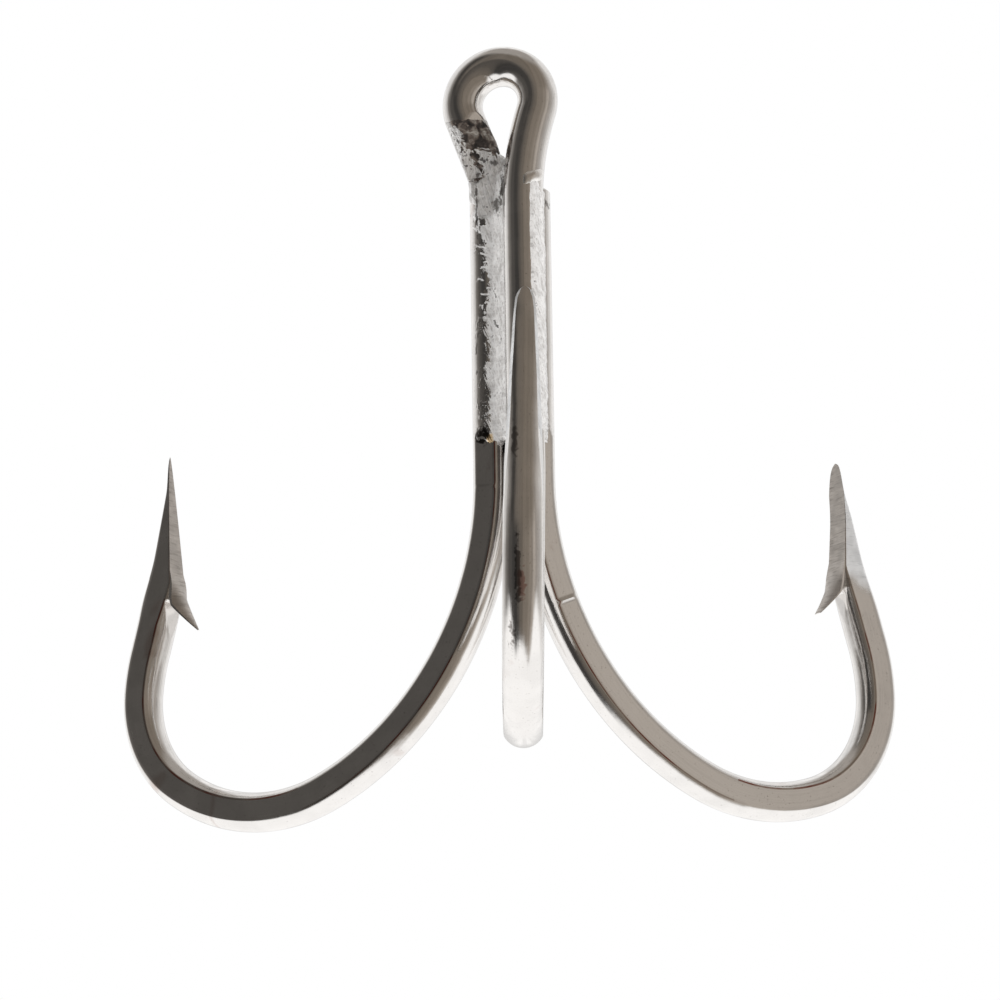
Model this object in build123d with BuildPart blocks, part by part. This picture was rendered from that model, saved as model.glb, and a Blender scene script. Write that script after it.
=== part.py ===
# A treble fishing hook: three forged wire hooks side by side, brazed along the shank.
# The front wire carries on past the shank and closes over the top as the eye.
#
# The origin is the centre of the eye. +Z runs up the shank, -Y is the side of the
# front prong and +X is its right. Sizes are in millimetres.
from build123d import *
import math
import os

os.makedirs("parts", exist_ok=True)

# ---- wire ----
wire_d = 4.75
side_flat = 1.95        # from the mid plane to the forged flat of a side prong
front_flat = 2.08       # the front prong is pressed less flat
braze_film = 0.05       # alloy between wires that lie against each other

# ---- heights along the shank, from the eye's centre ----
flat_start = -41.0      # the forged flats run out here, under the end of the braze
flat_run_out = 4.0      # length of their ramp
bend_start = -44.8
left_top = -7.5         # cut ends of the two wires that have no eye
right_top = -9.6

# ---- bend: four arcs one after the other, from straight down to the point ----
wire_radii = (37.0, 21.7, 13.5, 23.6)
left_turns = (68.0, 58.0, 59.0, 11.5)
right_turns = (66.0, 43.0, 71.5, 16.0)
front_turns = (67.0, 50.5, 65.0, 14.0)
front_azimuth = -0.2     # degrees: the front prong is turned a little to its left
front_lean = 1.3         # degrees: and its bend leans the same way below the shank

# ---- point: from the end of the last arc to the tip ----
left_point = 24.7
right_point = 22.4
front_point = 23.5
left_set_back = 9.0     # degrees that the point is bent back outwards
right_set_back = 5.0
front_set_back = 7.0

# ---- grinding and barb ----
tip_blunt = 0.12        # width left at the very tip
grind_length = 17.0     # length of the three ground faces
barb_length = 5.4
barb_lift = 28.0        # degrees between the barb and the ground face above it
barb_root_height = 1.7
barb_tip_size = 0.2

# ---- eye ----
eye_turn = 14.5         # the eye stands turned about Z, its left side further back
eye_radius = 4.58       # centre line of the loop
eye_lead_radius = 36.0  # the wire leans out to the right into the loop
eye_lead_turn = 18.0
eye_close_turn = 20.0   # and comes back inwards on the left
eye_tail = 7.4          # straight end of the wire below the loop
scarf_angle = 22.0      # the end is cut off on a slant, facing forwards
scarf_top = -1.0        # height where the cut leaves the front of the wire
gap_middle = 0.4        # the gap under the loop runs down this far right of its centre

# ---- braze ----
braze_bottom = -40.6
braze_top = -8.6
web_top = -6.4          # lowest point of the web that closes the eye
web_rise = 1.2          # it climbs this much on to both wires
web_width = 5.2
web_half_thickness = 1.7

far = 80.0              # longer than any piece, for cuts that run right through

wire_r = wire_d / 2
pitch = wire_d + braze_film

# ---- the three shank centres, as seen from above ----
# The eye's loop lies in a vertical plane through the front wire. The wire leaves the
# shank along the lead arc, so the loop's centre stands this far from the front wire.
lead_turn = math.radians(eye_lead_turn)
loop_offset = eye_radius * math.cos(lead_turn) - eye_lead_radius * (1 - math.cos(lead_turn))
loop_rise = (eye_radius + eye_lead_radius) * math.sin(lead_turn)
eye_axis_turn = math.radians(eye_turn)
front_x = loop_offset * math.cos(eye_axis_turn)
front_y = -loop_offset * math.sin(eye_axis_turn)

# The front wire leans against the right one, a little left of its middle.
nest_angle = math.radians(10.4)
right_x = front_x + pitch * math.sin(nest_angle)
right_y = front_y + pitch * math.cos(nest_angle)
left_x = right_x - pitch
left_y = right_y


def prong_plane(x, y, azimuth, lean=0):
    """Plane of one prong: local X points away from the shank, local Y is up.

    The azimuth is measured from -Y, positive towards +X. A prong that leans is tilted
    about the start of its bend.
    """
    turn = math.radians(azimuth)
    tilt = math.radians(lean)
    outward = (math.sin(turn), -math.cos(turn), 0)
    side = (-math.cos(turn) * math.cos(tilt), -math.sin(turn) * math.cos(tilt), math.sin(tilt))
    bend_plane = Plane(origin=(x, y, bend_start), x_dir=outward, z_dir=side)
    origin = bend_plane.from_local_coords(Vector(0, -bend_start, 0))
    return Plane(origin=origin, x_dir=outward, z_dir=side)


def make_hook(plane, shank_top, turns, point_length, set_back, half_thickness):
    """One forged hook without an eye: shank, bend, ground point and barb."""
    side = plane.z_dir
    foot = Plane(plane.from_local_coords(Vector(0, bend_start, 0)))
    with BuildPart() as hook:
        # Round shank.
        with BuildSketch(foot):
            Circle(wire_r)
        extrude(amount=shank_top - bend_start)

        # Bend and point, still round.
        with BuildLine(plane) as bend:
            arc = JernArc((0, bend_start), (0, -1), wire_radii[0], turns[0])
            for radius, turn in zip(wire_radii[1:], turns[1:]):
                arc = JernArc(arc @ 1, arc % 1, radius, turn)
            point = JernArc(arc @ 1, arc % 1, point_length / math.radians(set_back), -set_back)
        with BuildSketch(foot):
            Circle(wire_r)
        sweep(path=bend.wire())

        # Forged flats on both sides, with a ramp up to the round shank.
        ramp_top = flat_start + flat_run_out
        for facing in (-1, 1):
            across = Plane(plane.origin, x_dir=side * facing, z_dir=plane.x_dir * -facing)
            with BuildSketch(across):
                with BuildLine():
                    Polyline(
                        (half_thickness, -far),
                        (half_thickness, flat_start),
                        (wire_r, ramp_top),
                        (far, ramp_top),
                        (far, -far),
                        close=True,
                    )
                make_face()
            extrude(amount=far, both=True, mode=Mode.SUBTRACT)

        # The tip lies on the outer surface. The inner face is ground from it down to
        # the inner surface of the wire, where the barb is raised.
        grind_start = 1 - grind_length / point_length
        tip = point @ 1 + (point % 1).cross(side) * (wire_r - tip_blunt)
        root = point @ grind_start - (point % grind_start).cross(side) * wire_r
        down_face = (root - tip).normalized()
        face = Plane(tip, x_dir=down_face, z_dir=side)
        with BuildSketch(face):
            with Locations((grind_length / 2, 0)):
                Rectangle(2 * grind_length, grind_length, align=(Align.CENTER, Align.MAX))
        extrude(amount=wire_d, both=True, mode=Mode.SUBTRACT)

        # The two side faces narrow the point to the tip.
        for facing in (-1, 1):
            with BuildSketch(Plane(tip, x_dir=side * facing, z_dir=face.y_dir * -facing)):
                with BuildLine():
                    Polyline(
                        (tip_blunt / 2, 1),
                        (tip_blunt / 2, 0),
                        (half_thickness, -grind_length),
                        (wire_d, -grind_length),
                        (wire_d, 1),
                        close=True,
                    )
                make_face()
            extrude(amount=grind_length / 2, both=True, mode=Mode.SUBTRACT)

        # The barb is a slip of the inner surface, lifted and narrowed to a point.
        lift = math.radians(barb_lift)
        barb_dir = face.x_dir * math.cos(lift) - face.y_dir * math.sin(lift)
        barb_back = side.cross(barb_dir)
        barb_root = Plane(root + barb_back * (barb_root_height / 2), x_dir=side, z_dir=barb_dir)
        barb_end = Plane(root + barb_dir * barb_length, x_dir=side, z_dir=barb_dir)
        with BuildSketch(barb_root):
            Rectangle(2 * half_thickness, barb_root_height)
        with BuildSketch(barb_end):
            Rectangle(barb_tip_size, barb_tip_size)
        loft()
    return hook


left_plane = prong_plane(left_x, left_y, -120)
right_plane = prong_plane(right_x, right_y, 120)
front_plane = prong_plane(front_x, front_y, front_azimuth, front_lean)

left_hook = make_hook(
    left_plane, left_top, left_turns, left_point, left_set_back, side_flat,
)
left_hook.part.label = "left_hook"
export_step(left_hook.part, "parts/left_hook.step")

right_hook = make_hook(
    right_plane, right_top, right_turns, right_point, right_set_back, side_flat,
)
right_hook.part.label = "right_hook"
export_step(right_hook.part, "parts/right_hook.step")

# ---- front hook: the only one with an eye ----
front_bend = make_hook(
    front_plane, -loop_rise, front_turns, front_point, front_set_back, front_flat,
)
eye_x_dir = (-math.cos(eye_axis_turn), math.sin(eye_axis_turn), 0)
eye_normal = (math.sin(eye_axis_turn), math.cos(eye_axis_turn), 0)
eye_plane = Plane((front_x, front_y, -loop_rise), x_dir=eye_x_dir, z_dir=eye_normal)
loop_turn = eye_lead_turn + 180 + eye_close_turn
# A point on the line that parts the two sides of the loop, level with its centre.
loop_side = Vector(eye_x_dir) * -gap_middle

with BuildPart() as front_hook:
    with BuildLine(eye_plane) as eye_line:
        lead = JernArc((0, 0), (0, 1), eye_lead_radius, eye_lead_turn)
        loop = JernArc(lead @ 1, lead % 1, eye_radius, -loop_turn)
        Line(loop @ 1, loop @ 1 + (loop % 1) * eye_tail)
    with BuildSketch(Plane((front_x, front_y, -loop_rise))):
        Circle(wire_r)
    sweep(path=eye_line.wire())
    add(front_bend.part)
    # The end is cut off on a slant, facing forwards.
    slope = math.tan(math.radians(scarf_angle))
    with BuildSketch(Plane(loop_side, x_dir=eye_plane.z_dir, z_dir=-eye_plane.x_dir)):
        with BuildLine():
            Polyline(
                (-wire_r, scarf_top),
                (-wire_r + slope * eye_tail, scarf_top - eye_tail),
                (wire_r, scarf_top - 2 * eye_tail),
                (-wire_d, scarf_top - 2 * eye_tail),
                (-wire_d, scarf_top),
                close=True,
            )
        make_face()
    extrude(amount=-2 * wire_d, mode=Mode.SUBTRACT)
    # Behind, it is coped to lie against the top of the left wire.
    with BuildSketch(Plane((left_x, left_y, left_top + braze_film))):
        Circle(wire_r + braze_film)
    extrude(amount=-wire_d, mode=Mode.SUBTRACT)
front_hook.part.label = "front_hook"
export_step(front_hook.part, "parts/front_hook.step")


def on_wire(x, y, bearing):
    """A point on the surface of a shank wire, at this angle counter-clockwise from +X."""
    turn = math.radians(bearing)
    return (x + wire_r * math.cos(turn), y + wire_r * math.sin(turn))


def make_seam(start, end, hollow, inner_points):
    """Braze that fills one groove of the shank, with a hollow face outside."""
    with BuildPart() as seam:
        with BuildSketch(Plane.XY.offset(braze_bottom)):
            with BuildLine():
                SagittaArc(start, end, hollow)
                Polyline(end, *inner_points, start)
            make_face()
        extrude(amount=braze_top - braze_bottom)
        for hook in (left_hook, right_hook, front_hook):
            add(hook.part, mode=Mode.SUBTRACT)
    return seam


left_centre = (left_x, left_y)
right_centre = (right_x, right_y)
front_centre = (front_x, front_y)

# The front seam runs through the open gap and fills the core between the three wires.
braze_front = make_seam(
    on_wire(*left_centre, 231), on_wire(*front_centre, 202), 0.45,
    (front_centre, right_centre, left_centre),
)
braze_front.part.label = "braze_front"
export_step(braze_front.part, "parts/braze_front.step")

braze_right = make_seam(
    on_wire(*front_centre, 15), on_wire(*right_centre, -40), 0.3, (right_centre, front_centre),
)
braze_right.part.label = "braze_right"
export_step(braze_right.part, "parts/braze_right.step")

braze_rear = make_seam(
    on_wire(*right_centre, 110), on_wire(*left_centre, 70), 0.5, (left_centre, right_centre),
)
braze_rear.part.label = "braze_rear"
export_step(braze_rear.part, "parts/braze_rear.step")

# ---- braze that closes the eye: a web between the cut end and the front wire ----
with BuildPart() as braze_eye:
    with BuildSketch(eye_plane):
        with BuildLine():
            web_left = (web_width, web_top + loop_rise + web_rise)
            web_right = (0, web_top + loop_rise + web_rise)
            SagittaArc(web_left, web_right, web_rise)
            Polyline(web_right, (0, braze_top + loop_rise), (web_width, braze_top + loop_rise), web_left)
        make_face()
    extrude(amount=web_half_thickness, both=True)
    for hook in (left_hook, right_hook, front_hook):
        add(hook.part, mode=Mode.SUBTRACT)
braze_eye.part.label = "braze_eye"
export_step(braze_eye.part, "parts/braze_eye.step")
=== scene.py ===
from math import acos, asin, cos, hypot, pi, radians, sin, sqrt, tan
from types import SimpleNamespace as Values

import bmesh
import bpy
import numpy as np
from mathutils import Matrix, Vector, noise


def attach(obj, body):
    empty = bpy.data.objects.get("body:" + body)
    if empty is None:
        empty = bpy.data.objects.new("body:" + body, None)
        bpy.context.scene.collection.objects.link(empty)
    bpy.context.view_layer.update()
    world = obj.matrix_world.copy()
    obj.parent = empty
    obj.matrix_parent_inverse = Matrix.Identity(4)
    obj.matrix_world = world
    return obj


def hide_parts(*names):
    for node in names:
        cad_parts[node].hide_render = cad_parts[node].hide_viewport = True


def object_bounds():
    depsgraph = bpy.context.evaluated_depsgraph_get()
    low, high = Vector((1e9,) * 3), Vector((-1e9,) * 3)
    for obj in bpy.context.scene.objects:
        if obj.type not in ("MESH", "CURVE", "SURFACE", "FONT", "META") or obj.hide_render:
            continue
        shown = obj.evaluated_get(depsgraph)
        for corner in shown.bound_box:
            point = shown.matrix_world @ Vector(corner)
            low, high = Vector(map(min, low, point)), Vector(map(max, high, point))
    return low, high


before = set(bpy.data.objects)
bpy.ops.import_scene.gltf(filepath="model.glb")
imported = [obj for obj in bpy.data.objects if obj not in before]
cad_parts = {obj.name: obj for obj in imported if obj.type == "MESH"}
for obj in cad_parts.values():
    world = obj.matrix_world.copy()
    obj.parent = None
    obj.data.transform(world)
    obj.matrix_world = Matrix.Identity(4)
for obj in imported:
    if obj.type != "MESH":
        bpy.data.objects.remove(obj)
cad_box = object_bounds()

MM = 0.001

# ---- wire and shank, in millimetres, in the frame of the CAD model ----
WIRE_R = 2.358
PITCH = 4.80  # between the middles of two wires
FLAT_START = -39.0
FLAT_RUN_OUT = 1.4
FLAT_STEP = 0.15  # share of the run-out that starts at once
BEND_START = -44.8
BEND_RADII = (37.0, 21.7, 13.5, 23.6)
BRAZE_BOTTOM = -40.6

# ---- eye; the scarf is the slanting cut of its end ----
EYE_TURN = radians(14.5)
EYE_RADIUS = 4.58
LEAD_RADIUS = 36.0
LEAD_TURN = radians(18.0)
CLOSE_TURN = radians(20.0)
EYE_TAIL = 7.4
SCARF_ANGLE = radians(31.0)
SCARF_TOP = -3.0
SCARF_LEAN = 0.8

LOOP_OFFSET = EYE_RADIUS * cos(LEAD_TURN) - LEAD_RADIUS * (1 - cos(LEAD_TURN))
LOOP_RISE = (EYE_RADIUS + LEAD_RADIUS) * sin(LEAD_TURN)
NEST_ANGLE = radians(10.4)

FRONT_XY = np.array([LOOP_OFFSET * cos(EYE_TURN), -LOOP_OFFSET * sin(EYE_TURN)])
RIGHT_XY = FRONT_XY + PITCH * np.array([sin(NEST_ANGLE), cos(NEST_ANGLE)])
LEFT_XY = RIGHT_XY - np.array([PITCH, 0.0])

EYE_ACROSS = np.array([-cos(EYE_TURN), sin(EYE_TURN), 0.0])
EYE_NORMAL = np.array([sin(EYE_TURN), cos(EYE_TURN), 0.0])
UP = np.array([0.0, 0.0, 1.0])

# Each prong: shank centre, azimuth from -Y, top of its straight wire, the turns of its
# bend, length and set-back of its point, half-thickness between its flats and at its tip,
# length of its ground face, taper of its sides, hollow of its back, sideways lean of its
# tip, half-width of its back at distances from the tip where that is narrower, the barb,
# the place and height of the ridge where the forging die ended, whether the sides of its
# point take the lighter copy of the ground steel that paints a highlight, how far that
# painted highlight runs past the ground face, and the sideways tilt of its bend.
PRONGS = {
    "left": Values(
        xy=LEFT_XY, azimuth=-120, top=-7.5, turns=(68.0, 58.0, 59.0, 11.5), point=24.7,
        set_back=9.0, flat=1.95, tip_half=0.06, grind=18.0, taper=0.75, hollow=0.5, lean=0.0,
        back=(), barb_drop=3.7, barb_reach=2.75, barb_blunt=0.14, root_depth=0.75,
        die_mark=0.035, die_ridge=0.06, ground_side=False, side_run=-0.2, tilt=0.0,
    ),
    "right": Values(
        xy=RIGHT_XY, azimuth=120, top=-9.6, turns=(66.0, 43.0, 71.5, 16.0), point=22.4,
        set_back=5.0, flat=1.95, tip_half=1.50, grind=15.8, taper=1.0, hollow=0.5, lean=-0.8,
        back=(), barb_drop=3.0, barb_reach=2.65, barb_blunt=0.62, root_depth=0.35,
        die_mark=0.40, die_ridge=0.14, ground_side=True, side_run=3.0, tilt=0.0,
    ),
    "front": Values(
        xy=FRONT_XY, azimuth=-0.2, top=-LOOP_RISE, turns=(67.0, 50.5, 65.0, 14.0), point=23.5,
        set_back=7.0, flat=2.08, tip_half=0.75, grind=16.8, taper=0.55, hollow=0.3, lean=0.0,
        back=((0, 0.35), (1.2, 0.80), (2.6, 0.98), (10.6, 1.36), (17.5, 1.58), (25, 2.08)),
        barb_drop=3.8, barb_reach=2.65, barb_blunt=0.20, root_depth=0.50,
        die_mark=0.30, die_ridge=0.0, ground_side=True, side_run=-0.2, tilt=1.3,
    ),
}


def place_in_scene(name, data):
    thing = bpy.data.objects.new(name, data)
    bpy.context.scene.collection.objects.link(thing)
    return thing


# ---------------------------------------------------------------- camera
# The photograph is taken from below the eye, far off, with the hook a little tilted.
CAMERA_AIM = Vector((-0.71, 2.87, -47.54)) * MM
CAMERA_DISTANCE = 468.7 * MM
CAMERA_AZIMUTH = radians(-0.34)
CAMERA_RISE = radians(14.31)
CAMERA_ROLL = radians(0.84)
CAMERA_LENS = 145.7
CAMERA_NEAR = 10 * MM

look = Vector((
    sin(CAMERA_AZIMUTH) * cos(CAMERA_RISE),
    cos(CAMERA_AZIMUTH) * cos(CAMERA_RISE),
    sin(CAMERA_RISE),
))
level = Vector((cos(CAMERA_AZIMUTH), -sin(CAMERA_AZIMUTH), 0))
upright = level.cross(look)
cam_x = level * cos(CAMERA_ROLL) - upright * sin(CAMERA_ROLL)
cam_y = level * sin(CAMERA_ROLL) + upright * cos(CAMERA_ROLL)
camera_data = bpy.data.cameras.new("camera")
camera_data.lens = CAMERA_LENS
camera_data.clip_start = CAMERA_NEAR
camera = place_in_scene("camera", camera_data)
camera.matrix_world = Matrix.Translation(CAMERA_AIM - look * CAMERA_DISTANCE) @ Matrix(
    (cam_x, cam_y, -look)
).transposed().to_4x4()
bpy.context.scene.camera = camera
bpy.context.scene.view_settings.view_transform = "Standard"


# ---------------------------------------------------------------- node helpers
class Nodes:
    """Short-hand for building the node tree of a material or world."""

    def __init__(self, block):
        block.use_nodes = True
        self.block = block
        self.tree = block.node_tree
        self.tree.nodes.clear()

    def add(self, kind, inputs=None, **settings):
        node = self.tree.nodes.new("ShaderNode" + kind)
        for key, value in settings.items():
            setattr(node, key, value)
        for key, value in (inputs or {}).items():
            self.feed(node.inputs[key], value)
        return node

    def feed(self, socket, value):
        if isinstance(value, bpy.types.NodeSocket):
            self.tree.links.new(value, socket)
        else:
            socket.default_value = value

    def math(self, operation, a, b=0.0):
        return self.add("Math", {0: a, 1: b}, operation=operation).outputs[0]

    def plus(self, a, b):
        return self.math("ADD", a, b)

    def minus(self, a, b):
        return self.math("SUBTRACT", a, b)

    def times(self, a, b):
        return self.math("MULTIPLY", a, b)

    def xyz(self, vector):
        return self.add("SeparateXYZ", {0: vector}).outputs

    def span(self, value, low, high, to_low=0.0, to_high=1.0):
        """Smoothly map low..high to to_low..to_high."""
        node = self.add(
            "MapRange",
            {"Value": value, 1: low, 2: high, 3: to_low, 4: to_high},
            interpolation_type="SMOOTHSTEP",
        )
        return node.outputs["Result"]

    def sway(self, pattern, low, high):
        """Spread a noise pattern, which mostly lies between 0.3 and 0.7, over low..high."""
        return self.span(pattern, 0.3, 0.7, low, high)

    def blend(self, share, a, b):
        """The number a, turning into b as share goes from 0 to 1."""
        rest = self.minus(1.0, share)
        return self.plus(self.times(a, rest), self.times(b, share))

    def mix(self, factor, a, b):
        node = self.add("Mix", data_type="RGBA")
        self.feed(node.inputs["Factor"], factor)
        self.feed(node.inputs[6], a)
        self.feed(node.inputs[7], b)
        return node.outputs[2]

    def ramp(self, value, stops):
        node = self.add("ValToRGB", {"Fac": value})
        elements = node.color_ramp.elements
        while len(elements) > 1:
            elements.remove(elements[-1])
        for index, (position, colour) in enumerate(stops):
            element = elements[0] if index == 0 else elements.new(position)
            element.position = position
            element.color = colour
        return node.outputs["Color"]


def grey(value, warmth=0.0):
    """A grey, with red above and blue below it by the share warmth."""
    return (value * (1 + warmth), value, value * (1 - warmth), 1.0)


# ---------------------------------------------------------------- surroundings
# A white table and backdrop, with a darker room behind the camera, which is what the
# polished wire mirrors. Azimuth 0 is towards the camera, positive to the right.
WHITE = grey(1.10, 0.010)
CEILING = grey(0.34, 0.08)
BACKDROP_SHADE = grey(0.72, 0.01)
SOFT_LIGHT = grey(1.15, 0.005)
# Azimuth in degrees, brightness and warmth of the room, level with the camera.
ROOM_LEVEL = (
    (-180, 0.95, 0.01), (-126, 0.95, 0.01), (-104, 0.50, 0.03), (-90, 0.18, 0.08),
    (-74, 0.085, 0.08), (-58, 0.075, 0.08), (-50, 0.048, 0.06), (-34, 0.045, 0.06),
    (-22, 0.10, 0.13), (0, 0.155, 0.17), (28, 0.205, 0.17), (48, 0.25, 0.15), (60, 0.40, 0.11),
    (72, 0.31, 0.10), (90, 0.40, 0.06), (112, 0.68, 0.03), (140, 0.95, 0.01), (180, 0.95, 0.01),
)
# The same, overhead.
ROOM_HIGH = (
    (-180, 0.90, 0.01), (-118, 0.80, 0.01), (-100, 0.50, 0.03), (-84, 0.20, 0.08),
    (-66, 0.05, 0.08), (-54, 0.045, 0.08), (-42, 0.13, 0.14), (0, 0.155, 0.18),
    (48, 0.175, 0.18), (62, 0.22, 0.14), (86, 0.45, 0.06), (110, 0.75, 0.02), (180, 0.90, 0.01),
)
# Elevations over which the room overhead, and then the ceiling, takes over.
HIGH_BAND = (radians(20), radians(32))
CEILING_BAND = (radians(55), radians(72))
# Things in the room make it brighter and darker round about.
CLUTTER_SCALE = 7.0
CLUTTER_SHADES = (0.80, 1.24)
CLUTTER_BAND = (0.32, 0.68)
# The table's edge is low in front and climbs to the sides, over EDGE_SPAN of a measure of
# how far sideways a ray goes.
SIDEWAYS_BY_X = 0.6
SIDEWAYS_BY_AZIMUTH = 0.4 / radians(90)
EDGE_SPAN = (0.53, 0.92)
EDGE_CLIMB = (radians(-61), radians(-13))
EDGE_SOFTNESS = radians(7)
# In front the edge also slants down to the right and is frayed.
SLANT_TO = radians(60)
EDGE_SLANT = radians(5)
EDGE_FRAY = radians(3)
FRAY_SPAN = (0.45, 0.80)
# How nearly straight ahead of the camera the shaded backdrop lies, as a cosine.
BACKDROP_SPAN = (0.88, 0.985)

world = bpy.data.worlds.new("studio")
bpy.context.scene.world = world
w = Nodes(world)
ray = w.add("TexCoord").outputs["Generated"]
axes = w.xyz(ray)
azimuth = w.math("ARCTAN2", axes["X"], w.times(axes["Y"], -1.0))
turn_share = w.plus(w.math("DIVIDE", azimuth, 2 * pi), 0.5)
elevation = w.math("ARCSINE", axes["Z"])


def profile(levels):
    stops = [(angle / 360 + 0.5, grey(value, warmth)) for angle, value, warmth in levels]
    return w.ramp(turn_share, stops)


room = w.mix(w.span(elevation, *HIGH_BAND), profile(ROOM_LEVEL), profile(ROOM_HIGH))
room = w.mix(w.span(elevation, *CEILING_BAND), room, CEILING)
clutter = w.add(
    "TexNoise",
    {"W": azimuth, "Scale": CLUTTER_SCALE, "Detail": 4.0, "Roughness": 0.65},
    noise_dimensions="1D",
).outputs["Fac"]
room = w.add(
    "VectorMath",
    {0: room, "Scale": w.span(clutter, *CLUTTER_BAND, *CLUTTER_SHADES)},
    operation="SCALE",
).outputs["Vector"]
sideways = w.plus(w.times(w.math("ABSOLUTE", axes["X"]), SIDEWAYS_BY_X),
                  w.times(w.math("ABSOLUTE", azimuth), SIDEWAYS_BY_AZIMUTH))
frayed = w.plus(w.span(azimuth, -SLANT_TO, SLANT_TO, EDGE_SLANT, -EDGE_SLANT),
                w.span(clutter, *CLUTTER_BAND, -EDGE_FRAY, EDGE_FRAY))
frayed = w.times(frayed, w.span(sideways, *FRAY_SPAN, 1.0, 0.0))
table_edge = w.plus(w.span(sideways, *EDGE_SPAN, *EDGE_CLIMB), frayed)
above_edge = w.minus(elevation, table_edge)
lit = w.mix(w.span(above_edge, -EDGE_SOFTNESS, EDGE_SOFTNESS), WHITE, room)
ahead = w.add("VectorMath", {0: ray, 1: look}, operation="DOT_PRODUCT")
lit = w.mix(w.span(ahead.outputs["Value"], *BACKDROP_SPAN), lit, BACKDROP_SHADE)
rays = w.add("LightPath").outputs
lit = w.mix(rays["Is Diffuse Ray"], lit, SOFT_LIGHT)
sky = w.add("Background", {
    "Color": w.mix(rays["Is Camera Ray"], lit, (1, 1, 1, 1)),
})
w.add("OutputWorld", {"Surface": sky.outputs[0]})


# ---------------------------------------------------------------- materials
def start_material(name):
    n = Nodes(bpy.data.materials.new(name))
    return n, n.add("TexCoord").outputs["Object"]


def noise_of(n, vector, scale, detail=3.0, distortion=0.0):
    """Noise at so many features a metre; scale is one number or one for each axis."""
    if isinstance(scale, tuple):
        vector = n.add("Mapping", {"Vector": vector, "Scale": scale}).outputs[0]
        scale = 1.0
    node = n.add("TexNoise", {
        "Vector": vector, "Scale": scale, "Detail": detail, "Distortion": distortion,
    })
    return node.outputs["Fac"]


def bumps(n, layers):
    """Bump nodes in a chain: (height, strength, depth in mm) each."""
    normal = None
    for height, strength, depth in layers:
        bump = n.add("Bump", {
            "Height": height, "Strength": strength, "Distance": depth * MM,
        })
        if normal:
            n.feed(bump.inputs["Normal"], normal)
        normal = bump.outputs[0]
    return normal


def finish_metal(n, colour, metallic, roughness, normal):
    shader = n.add("BsdfPrincipled", {
        "Base Color": colour, "Metallic": metallic, "Roughness": roughness, "Normal": normal,
    })
    n.add("OutputMaterial", {"Surface": shader.outputs[0]})
    return n.block


RUST = (0.42, 0.16, 0.13, 1)
SCORCH = (0.10, 0.08, 0.07, 1)
SOOT = (0.08, 0.07, 0.06, 1)
CARBON = (0.035, 0.03, 0.025, 1)
# Burnt and rusty stains, and a line of painted shade in a crease: middle and reach in mm,
# colour and strength.
STAINS_AND_CREASE_SHADE = (
    ((1.7, -51.0, -70.0), (0.40, 2.0, 1.3), RUST, 0.60),
    ((1.3, -50.8, -68.6), (0.30, 2.0, 3.4), SCORCH, 0.75),
    ((0.6, -50.4, -75.2), (0.38, 2.5, 1.8), SCORCH, 0.70),
    ((1.2, -47.6, -54.6), (0.35, 2.0, 1.9), (0.12, 0.10, 0.08, 1), 0.65),
    ((4.2, 3.1, -38.9), (0.8, 2.0, 0.7), (0.06, 0.05, 0.04, 1), 0.70),
    ((0.15, 0.0, -10.6), (0.30, 3.0, 1.3), (0.04, 0.033, 0.028, 1), 0.95),
    ((-0.55, 0.0, -12.3), (0.60, 3.0, 0.9), SOOT, 0.85),
    # A dark line along the web's left edge, where it meets the left wire: painted shade in the
    # crease.
    ((-2.95, 3.0, -12.2), (0.15, 3.0, 3.4), (0.06, 0.05, 0.045, 1), 0.85),
    ((-2.70, 3.0, -8.8), (0.45, 3.0, 0.7), (0.05, 0.04, 0.035, 1), 0.85),
    ((-0.7, 1.0, -7.0), (0.55, 2.0, 0.30), SOOT, 0.75),
    ((5.4, 2.8, -11.6), (0.35, 1.2, 0.45), SOOT, 0.70),
    ((-2.8, 1.9, -40.0), (0.80, 2.0, 0.95), CARBON, 0.95),
)


def stained_and_shaded(n, place, colour):
    """The colour with stains and painted crease shade laid over it, ragged at their edges."""
    crinkle = noise_of(n, place, 1500.0, 6.0, 0.6)
    warp = n.times(n.minus(crinkle, 0.5), 3.0)
    for spot, size, mark_colour, amount in STAINS_AND_CREASE_SHADE:
        near = n.add("Mapping", {
            "Vector": place,
            "Location": tuple(Vector(spot) * MM),
            "Scale": tuple(Vector(size) * MM),
        }, vector_type="TEXTURE").outputs[0]
        reach = n.add("VectorMath", {0: near}, operation="LENGTH").outputs["Value"]
        cover = n.span(n.plus(reach, warp), 1.25, 0.65, 0.0, amount)
        colour = n.mix(cover, colour, mark_colour)
    return colour


def wire_metal(name, shade, roughness, wave, drawn, speck):
    """Polished steel wire with drawing lines along it, small specks and faint stains."""
    n, place = start_material(name)
    along = n.add("UVMap", uv_map="wire").outputs[0]
    cloud = noise_of(n, place, 320.0, 4.0)
    fine = noise_of(n, place, 5200.0, 2.0)
    patches = noise_of(n, place, 130.0, 3.0, 0.6)
    lines = noise_of(n, along, (9000.0, 60.0, 1.0), 3.0)
    colour = n.mix(n.span(cloud, 0.35, 0.65), grey(shade * 0.95, 0.02), grey(shade * 1.03, 0.02))
    colour = n.mix(n.span(patches, 0.66, 0.78, 0.0, 0.45), colour, (0.42, 0.27, 0.22, 1))
    pits = n.span(fine, 0.68, 0.73)
    colour = n.mix(n.times(pits, speck), colour, grey(0.16, 0.15))
    colour = stained_and_shaded(n, place, colour)
    rough = n.plus(n.sway(cloud, roughness * 0.75, roughness * 1.3),
                   n.span(lines, 0.45, 0.75, 0.0, 0.08))
    normal = bumps(n, [
        (noise_of(n, place, 420.0, 2.0), wave, 0.06),
        (lines, drawn, 0.012),
        (fine, 0.12, 0.01),
    ])
    return finish_metal(n, colour, 1.0, rough, normal)


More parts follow.
